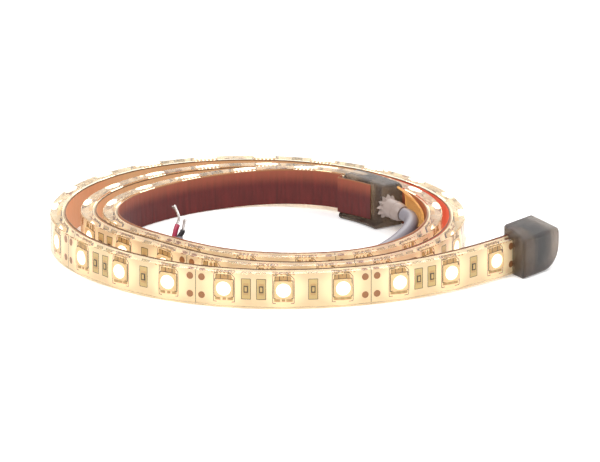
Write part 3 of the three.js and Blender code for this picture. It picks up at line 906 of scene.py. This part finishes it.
class LEDSTRIP_OT_stage(bpy.types.Operator):
    """Adds the camera, the floor and the studio light"""

    bl_idname = "ledstrip.stage"
    bl_label = "Add Stage"

    def execute(self, context):
        settings = context.scene.ledstrip_stage
        scene = context.scene
        back = Vector((0, -math.cos(settings.elevation), math.sin(settings.elevation)))
        lens = bpy.data.cameras.new("Camera")
        lens.sensor_width = SENSOR_WIDTH
        lens.sensor_fit = "HORIZONTAL"
        lens.lens = PIXELS_PER_MM * settings.distance / MM / PICTURE_WIDTH * SENSOR_WIDTH
        lens.clip_start = 0.1
        lens.clip_end = 20
        camera = bpy.data.objects.new("Camera", lens)
        camera.location = to_frame(*CAMERA_AIM) + back * settings.distance
        camera.rotation_euler = (math.pi / 2 - settings.elevation, 0, 0)
        scene.collection.objects.link(camera)
        scene.camera = camera
        scene.view_settings.view_transform = "Standard"

        # Matt white paper, lifted to white for the camera so that only shadows show on it
        material, tree, shader = new_material(
            "Studio paper, white", Base_Color=(*settings.floor_colour, 1.0), Roughness=0.9,
            Emission_Color=(1, 1, 1, 1),
        )
        ray = add_node(tree, "ShaderNodeLightPath")
        lift = add_node(
            tree, "ShaderNodeMath", [(0, ray.outputs["Is Camera Ray"]), (1, 0.2)],
            operation="MULTIPLY",
        )
        tree.links.new(lift.outputs[0], shader.inputs["Emission Strength"])
        shell = Shell()
        corners = rectangle(-FLOOR_HALF, FLOOR_HALF, -FLOOR_HALF, FLOOR_HALF)
        shell.add([(x, y, -FLOOR_DROP) for x, y in corners], [(0, 1, 2, 3)])
        floor = shell.build("floor", [material])

        # A world that is white to the camera, in gloss and through glass, and dimmer as light
        world = bpy.data.worlds.new("Studio")
        world.use_nodes = True
        scene.world = world
        tree = world.node_tree
        tree.nodes.clear()
        ray = add_node(tree, "ShaderNodeLightPath")
        dim, full = (
            add_node(tree, "ShaderNodeBackground", [("Color", (1, 1, 1, 1)), ("Strength", level)])
            for level in (0.62, 1.0)
        )
        seen = ray.outputs["Is Camera Ray"]
        for kind in ("Is Glossy Ray", "Is Transmission Ray"):
            seen = add_node(
                tree, "ShaderNodeMath", [(0, seen), (1, ray.outputs[kind])], operation="MAXIMUM"
            ).outputs[0]
        mix = add_node(
            tree, "ShaderNodeMixShader", [(0, seen), (1, dim.outputs[0]), (2, full.outputs[0])]
        )
        add_node(tree, "ShaderNodeOutputWorld", [(0, mix.outputs[0])])

        for name, place, size, power in LAMPS:
            lamp = bpy.data.lights.new(name, "AREA")
            lamp.size = size
            lamp.energy = power
            holder = bpy.data.objects.new(name, lamp)
            holder.location = place
            holder.rotation_euler = (-Vector(place)).to_track_quat("-Z", "Y").to_euler()
            scene.collection.objects.link(holder)
        return {"FINISHED"}


class LEDSTRIP_OT_feed_cable(bpy.types.Operator):
    """Adds the grey feed cable with its two bared cores"""

    bl_idname = "ledstrip.feed_cable"
    bl_label = "Add Feed Cable"

    def execute(self, context):
        path = curve_points(JACKET_ROUTE, JACKET_POINTS)
        shell = Shell()
        radii = [JACKET_RADIUS] * JACKET_POINTS
        radii[0] = radii[-1] = JACKET_END_RADIUS
        shell.loft(tube_rings(path, radii, 20))
        jacket = shell.build("feed_cable", [MATERIALS["jacket"]], 60)
        keep(jacket, "grey_jacket", "cable_jacket")
        for name, route, node, paint, slot in (
            ("core_red", RED_ROUTE, "red_core", "red_pvc", "red_insulation"),
            ("core_black", BLACK_ROUTE, "black_core", "black_pvc", "black_insulation"),
        ):
            shell = Shell()
            line = start_earlier(curve_points(route, CORE_POINTS), CORE_HIDDEN)
            shell.loft(tube_rings(line, [CORE_RADIUS] * CORE_POINTS + [CORE_TIP_RADIUS], 14))
            piece = shell.build(name, [MATERIALS[paint]], 60)
            keep(piece, slot, node)
        for name, route, node in (
            ("strands_red", RED_TIN_ROUTE, "red_tinned_end"),
            ("strands_black", BLACK_TIN_ROUTE, "black_tinned_end"),
        ):
            shell = Shell()
            frames = tube_frames(start_earlier(curve_points(route, STRAND_POINTS), STRAND_HIDDEN))
            for strand in range(OUTER_STRANDS + 1):
                # Each strand frays by its own share near the tip, and the last one is the core
                stray = 0.12 * (0.5 + (strand * 37 % 10) / 10)
                wound = []
                for i, (point, side, up) in enumerate(frames):
                    turn = 2 * math.pi * strand / OUTER_STRANDS + STRAND_TWIST * i
                    reach = STRAND_SPACING if strand < OUTER_STRANDS else 0.0
                    reach *= 1 + stray * max(i - FRAY_START, 0)
                    wound.append(point + around(side, up, reach, turn))
                shell.loft(tube_rings(wound, [STRAND_RADIUS] * len(wound), 6))
            piece = shell.build(name, [MATERIALS["strand"]], 60)
            keep(piece, "tinned_copper", node)
        return {"FINISHED"}


class LEDSTRIP_OT_board(bpy.types.Operator):
    """Adds the flexible board with its pads, lines and resistors"""

    bl_idname = "ledstrip.board"
    bl_label = "Add Board"

    def execute(self, context):
        settings = context.scene.ledstrip
        line = settings.line_width / MM
        pad = settings.pad_size / MM / 2
        finishes = ["board", "copper", "land", "ink", "lead", "resistor", "resistor_top"]
        slots = {name: number for number, name in enumerate(finishes)}
        low, high = layer_span(BOARD_WIDTH)
        outline = [(0, low), (0, MID_HEIGHT), (0, high), (BOARD_BACK, high), (BOARD_BACK, low)]
        shell = Shell()
        places = stations(0, STRIP_END, 1.4)
        rings = [[strip_point(s, out, up) for out, up in outline] for s in places]
        shell.loft(rings, slots["board"], [strip_marks(s, outline) for s in places])

        def add_blocks(rows, at):
            for x0, x1, y0, y1, bottom, top, finish in rows:
                corners = rectangle(at + x0, at + x1, y0, y1)
                shell.prism(corners, bottom, top, board_point, slots[finish])

        def print_lines(corners, at, top):
            moved = [(at + x, y) for x, y in corners]
            shell.outline_block(moved, line, SUNK, top, board_point, slots["ink"])

        cut_line = (-line / 2, line / 2, -CUT_LINE_HALF, CUT_LINE_HALF, SUNK, INK_TOP, "ink")
        body = rectangle(-BODY_LINE_HALF, BODY_LINE_HALF, -BODY_LINE_HALF, BODY_LINE_HALF)
        wide, high = RESISTOR_LAND

        for cut in range(LED_COUNT // LEDS_PER_SEGMENT + 1):
            at = CUT_END - cut * SEGMENT
            add_blocks([cut_line], at)
            for side in (-1, 1):
                for up in (-PAD_ABOVE, PAD_ABOVE):
                    spot = disc(at + side * PAD_BESIDE, up, pad)
                    shell.prism(spot, SUNK, PAD_TOP, board_point, slots["copper"])
        for number in range(LED_COUNT):
            at = led_place(number)
            print_lines(LED_FOOTPRINT, at, INK_TOP)
            print_lines(body, at, BODY_LINE_TOP)
            # Painted reflections of the leads, as short dashes in the silicone's top face
            for place in LEAD_REFLECTION_PLACES:
                add_blocks(LEAD_REFLECTION_DASHES, at + place)
            add_blocks(LED_BLOCKS, at)
            if number + 1 == LED_COUNT:
                continue
            for shift in RESISTOR_SHIFTS[number % LEDS_PER_SEGMENT]:
                place = at - LED_PITCH / 2 + shift
                add_blocks([(-wide, wide, -high, high, SUNK, INK_TOP, "land")], place)
                print_lines(rectangle(-wide, wide, -high, high), place, LAND_TOP)
                add_blocks(RESISTOR_BLOCKS, place)
        board = shell.build("flexible_board", [MATERIALS[name] for name in finishes], 30)
        keep(board, "white_board", "circuit_board")
        return {"FINISHED"}


def square_reach(turn, half, cut):
    """Distance from the middle to the edge of a square with its first corner cut off."""
    x, y = abs(math.cos(turn)), abs(math.sin(turn))
    reach = half / max(x, y)
    if math.cos(turn) > 0 and math.sin(turn) > 0:
        reach = min(reach, (2 * half - cut) / (x + y))
    return reach


class LEDSTRIP_OT_led_packages(bpy.types.Operator):
    """Adds the lit LED packages"""

    bl_idname = "ledstrip.led_packages"
    bl_label = "Add LED Packages"

    def execute(self, context):
        shell = Shell()
        finishes = ["package", "phosphor", "lead"]
        body, gel, metal = range(len(finishes))
        turns = [2 * math.pi * (i + 0.5) / LED_TURNS for i in range(LED_TURNS)]
        for number in range(LED_COUNT):
            matrix = facet_matrix(led_place(number), LED_PITCH / 2)

            def place(x, y, z):
                return matrix @ Vector((x, y, z))

            rings = []
            for half, radius, high in LED_PROFILE:
                ring = []
                for turn in turns:
                    reach = radius if half is None else square_reach(turn, half, LED_CORNER_CUT)
                    ring.append(place(reach * math.cos(turn), reach * math.sin(turn), high))
                rings.append(ring)
            shell.loft(rings[:LED_RIM_RINGS], body, caps=False)
            shell.loft(rings[LED_RIM_RINGS - 1 :], gel, caps=False)
            shell.cap_end(LED_TURNS, gel)

            # Light of the LEDs that face away scatters in the silicone above them
            if matrix.col[2].y > FACING_AWAY * MM:
                spot = []
                for step in range(SPOT_STEPS + 1):
                    lean = math.pi * (step / SPOT_STEPS - 0.5)
                    size = max(math.cos(lean), 0.02)
                    x = SPOT_LONG * math.sin(lean)
                    high, deep = SPOT_HIGH * size, SPOT_DEEP * size
                    spot.append([
                        place(x, SPOT_UP + high * math.sin(t), SPOT_OUT + deep * math.cos(t))
                        for t in turns[::2]
                    ])
                shell.loft(spot, gel)

            for x in LED_LEADS:
                for side in (-1, 1):
                    for near, far, bottom, top in LEAD_PARTS:
                        edges = sorted((side * near, side * far))
                        corners = rectangle(x - LEAD_HALF, x + LEAD_HALF, *edges)
                        shell.prism(corners, bottom, top, place, metal)
        leds = shell.build("led_packages", [MATERIALS[name] for name in finishes], 35)
        keep(leds, "led_package", *(f"led_{i:02d}" for i in range(1, LOOSE_LEDS + 1)))
        return {"FINISHED"}


class LEDSTRIP_OT_silicone_coat(bpy.types.Operator):
    """Adds the clear silicone coat with a low dome over each LED"""

    bl_idname = "ledstrip.silicone_coat"
    bl_label = "Add Silicone Coat"

    def execute(self, context):
        edge = context.scene.ledstrip.silicone_edge / MM
        low, high = layer_span(SILICONE_WIDTH)
        face = SILICONE_FRONT - edge
        turns = [math.pi / 8 * step for step in range(1, 4)]
        corner = [(edge * math.sin(turn), edge * math.cos(turn)) for turn in turns]
        levels = 8
        shell = Shell()
        rings, marks = [], []
        for along in stations(0, STRIP_END, LED_PITCH / 14):
            away = abs((along % LED_PITCH) - LED_PITCH / 2)
            dome = DOME * (0.5 + 0.5 * math.cos(math.pi * min(away / DOME_REACH, 1)))
            outline = [(SILICONE_BACK, low), (face, low)]
            outline += [(face + sine, low + edge - cosine) for sine, cosine in corner]
            for step in range(levels + 1):
                up = low + edge + (SILICONE_WIDTH - 2 * edge) * step / levels
                swell = 0
                if 0 < step < levels:
                    swell = math.sin(math.pi * step / levels) ** DOME_SQUARENESS
                outline.append((SILICONE_FRONT + dome * swell, up))
            outline += [(face + cosine, high - edge + sine) for sine, cosine in corner]
            outline += [(face, high), (SILICONE_BACK, high)]
            rings.append([strip_point(along, out, up) for out, up in outline])
            marks.append([(along, up - MID_HEIGHT + out) for out, up in outline])
        shell.loft(rings, 0, marks)
        coat = shell.build("silicone_shell", [MATERIALS["silicone"]], 50)
        keep(coat, "clear_silicone", "silicone_coat")
        return {"FINISHED"}


class LEDSTRIP_OT_backing(bpy.types.Operator):
    """Adds the adhesive tape and the red release liner with its loose tab"""

    bl_idname = "ledstrip.backing"
    bl_label = "Add Backing"

    def execute(self, context):
        crinkle = context.scene.ledstrip.liner_crinkle / MM
        low, high = layer_span(TAPE_WIDTH)
        outline = [(TAPE_FRONT, low), (TAPE_FRONT, high), (TAPE_BACK, high), (TAPE_BACK, low)]
        shell = Shell()
        places = stations(0, STRIP_END, 2.2)
        rings = [[strip_point(s, out, up) for out, up in outline] for s in places]
        shell.loft(rings, 0, [strip_marks(s, outline) for s in places])
        tape = shell.build("foam_tape", [MATERIALS["tape"]])
        keep(tape, "tape", "adhesive_tape")

        # The film is as wide as the silicone, and its edges crease clear of the sleeve only
        low, high = layer_span(SILICONE_WIDTH)
        half = SILICONE_WIDTH / 2
        smooth_until = 25
        levels = stations(low, high, (high - low) / 6)
        tab = stations(TAB_START - TAB_LENGTH, TAB_START, 2.17)
        rings, marks = [], []
        for along in tab + stations(TAB_START + 0.8, STRIP_END, 0.9):
            share = (along - TAB_START + TAB_LENGTH) / TAB_LENGTH
            front = SLEEVE_BACK - TAB_GAP - TAB_LEAN * share if along <= TAB_START else LINER_FRONT
            outline = []
            for depth, heights in ((0, levels), (LINER_FRONT - LINER_BACK, levels[::-1])):
                for up in heights:
                    fold = 0
                    if along > smooth_until:
                        wave = noise.noise(Vector((along * 0.8, 3.0, up * 0.05)))
                        fold = wave * crinkle * (abs(up - MID_HEIGHT) / half) ** 3
                    outline.append((front - depth - abs(fold) * 2, up))
            rings.append([strip_point(along, out, up) for out, up in outline])
            marks.append(strip_marks(along, outline))
        shell = Shell()
        shell.loft(rings, 0, marks)
        liner = shell.build("liner_film", [MATERIALS["liner"]], 30)
        keep(liner, "red_liner", "release_liner")
        return {"FINISHED"}


class LEDSTRIP_OT_outer_end_cap(bpy.types.Operator):
    """Adds the smoked end cap on the strip's outer end"""

    bl_idname = "ledstrip.outer_end_cap"
    bl_label = "Add Outer End Cap"

    def execute(self, context):
        shell = Shell()
        rings, marks = [], []
        length = CAP_PLUG - CAP_TOE
        corner = [(math.sin(math.pi * i / 20), math.cos(math.pi * i / 20)) for i in range(1, 11)]
        # Side views from the back face to the front one, drawn in at both for the rounding
        for out, inset in (
            (CAP_BACK, 0.8), (CAP_BACK + 0.25, 0.3), (CAP_BACK + 0.8, 0), (CAP_BACK + 4, 0),
            (CAP_FRONT - 4, 0), (CAP_FRONT - 0.8, 0), (CAP_FRONT - 0.25, 0.3), (CAP_FRONT, 0.8),
        ):
            mouth = -CAP_COVER - CAP_SLANT * (out - CAP_BACK) / (CAP_FRONT - CAP_BACK)
            top = CAP_ROOF - math.tan(CAP_SLOPE) * (out - CAP_BACK) - inset * 0.3
            side = [(mouth + (length - mouth) * share, 0.0) for share in (0, 0.35, 0.65, 1)]
            side += [(length + CAP_TOE * s, CAP_TOE - CAP_TOE * c) for s, c in corner]
            side += [
                (CAP_PLUG, 8.8), (CAP_PLUG, top - 1.0), (CAP_PLUG - 0.35, top - 0.35),
                (CAP_PLUG - 1.1, top), (3.5, top), (0.0, top), (mouth + 0.6, top),
                (mouth, top - 0.5), (mouth, 8.0), (mouth, 4.0),
            ]
            ring = []
            for x, y in side:
                x += (1.0 - x) * inset / 8
                y += (CAP_ROOF / 2 - y) * inset / 7
                ring.append(cap_point(x, min(y, top), out))
            rings.append(ring)
            marks.append(side)
        shell.loft(rings, 0, marks)
        cap = shell.build("smoked_end_cap", [MATERIALS["smoked"]], 40)
        keep(cap, "smoky_silicone", "outer_end_cap")
        shell = Shell()
        # Sealant block, near-black as painted shade of the cap's dark interior
        shell.prism(SEALANT_SHADE_OUTLINE, LINER_BACK + 0.3, SILICONE_FRONT + 0.6, cap_point)
        core = shell.build("cap_sealant_shade", [MATERIALS["glue_and_shade"]], 30)
        keep(core, "smoky_silicone")
        return {"FINISHED"}


class LEDSTRIP_OT_inner_end(bpy.types.Operator):
    """Adds the sleeve, the clear tongue and the strain relief at the strip's inner end"""

    bl_idname = "ledstrip.inner_end"
    bl_label = "Add Inner End"

    def add_sleeve(self):
        floor, roof, front, back = -INNER_LIFT, SLEEVE_ROOF, SLEEVE_FRONT, SLEEVE_BACK
        middle = (floor + roof) / 2
        # Section with the foot that sticks out at the back, under the tab
        outline = [
            (front, floor + SLEEVE_EDGE), (front, middle), (front, roof - 1.2),
            (front - 0.25, roof - 0.45), (front - 1.0, roof), (back + 1.0, roof),
            (back + 0.25, roof - 0.25), (back, roof - 0.8), (back, middle), (back, floor + 1.5),
            (back - 0.3, floor + 1.25), (back - 1.9, floor + 1.15), (back - 2.4, floor + 0.8),
            (back - 2.4, floor + 0.35), (back - 2.0, floor), (front - SLEEVE_EDGE, floor),
        ]
        centre = (front + back) / 2
        shell = Shell()
        rings, marks = [], []
        for along, size in SLEEVE_RINGS:
            rings.append([
                strip_point(along, centre + (out - centre) * size, middle + (up - middle) * size)
                for out, up in outline
            ])
            # Shifted so that the sleeve takes none of the painted light of the outer cap's thin
            # closed end
            marks.append([(along - 20, up) for _, up in outline])
        shell.loft(rings, 0, marks)
        sleeve = shell.build("smoked_sleeve", [MATERIALS["smoked"]], 50)
        keep(sleeve, "smoky_silicone", "inner_end_sleeve")

    def add_tongue(self):
        place, _, _ = strip_frame(INNER_END)
        first = math.degrees(math.atan2(place.y, place.x)) - HOOD_LEAD
        rings = []
        for step in range(HOOD_STEPS + 1):
            share = step / HOOD_STEPS
            angle = first - HOOD_SWEEP * share
            turn = math.radians(angle)
            wall = roll_radius(angle + 360) + LINER_BACK - HOOD_WALL_GAP
            ring = []
            for out, up in HOOD_SECTION:
                reach = wall + out * (1 - HOOD_FLATTENS * share)
                height = up * (1 - HOOD_FALLS * share)
                ring.append(to_frame(reach * math.cos(turn), reach * math.sin(turn), height))
            rings.append(ring)
        shell = Shell()
        shell.loft(rings)
        tongue = shell.build("clear_tongue", [MATERIALS["gold"]], 50)
        keep(tongue, "clear_silicone", "clear_hood")

    def add_relief(self):
        start = end_point(*JACKET_ROUTE[0])
        along = (end_point(*JACKET_ROUTE[1]) - start).normalized()
        side = along.cross(Vector((0, 0, 1))).normalized()
        up = side.cross(along)
        rings = []
        for at, radius, tooth in RELIEF_PROFILE:
            ring = []
            for i in range(2 * RELIEF_TEETH):
                reach = radius + (tooth if i % 2 == 0 else -tooth * TOOTH_GAP_DEPTH)
                step = around(side, up, reach, math.pi * i / RELIEF_TEETH)
                ring.append(start + (along * at + step) * MM)
            rings.append(ring)
        shell = Shell()
        shell.loft(rings)
        relief = shell.build("toothed_relief", [MATERIALS["relief"]], 30)
        keep(relief, "pale_sheath", "strain_relief")

    def execute(self, context):
        self.add_sleeve()
        self.add_tongue()
        self.add_relief()
        return {"FINISHED"}


class LEDSTRIP_PT_panel(bpy.types.Panel):
    """Lists the pieces of the strip in the sidebar."""

    bl_label = "LED Strip"
    bl_idname = "LEDSTRIP_PT_panel"
    bl_space_type = "VIEW_3D"
    bl_region_type = "UI"
    bl_category = "LED Strip"

    def draw(self, context):
        layout = self.layout
        for group in (context.scene.ledstrip, context.scene.ledstrip_stage):
            for name in group.__annotations__:
                layout.prop(group, name)
        for operator in OPERATORS:
            layout.operator(operator.bl_idname)


OPERATORS = (
    LEDSTRIP_OT_stage,
    LEDSTRIP_OT_feed_cable,
    LEDSTRIP_OT_board,
    LEDSTRIP_OT_led_packages,
    LEDSTRIP_OT_silicone_coat,
    LEDSTRIP_OT_backing,
    LEDSTRIP_OT_outer_end_cap,
    LEDSTRIP_OT_inner_end,
)
CLASSES = (StripSettings, StageSettings, *OPERATORS, LEDSTRIP_PT_panel)


def register():
    for item in CLASSES:
        bpy.utils.register_class(item)
    bpy.types.Scene.ledstrip = bpy.props.PointerProperty(type=StripSettings)
    bpy.types.Scene.ledstrip_stage = bpy.props.PointerProperty(type=StageSettings)


def unregister():
    del bpy.types.Scene.ledstrip_stage
    del bpy.types.Scene.ledstrip
    for item in reversed(CLASSES):
        bpy.utils.unregister_class(item)


def main():
    register()
    bpy.ops.ledstrip.stage()
    bpy.ops.ledstrip.feed_cable()
    bpy.ops.ledstrip.board()
    bpy.ops.ledstrip.led_packages()
    bpy.ops.ledstrip.silicone_coat()
    bpy.ops.ledstrip.backing()
    bpy.ops.ledstrip.outer_end_cap()
    bpy.ops.ledstrip.inner_end()


if __name__ == "__main__":
    main()
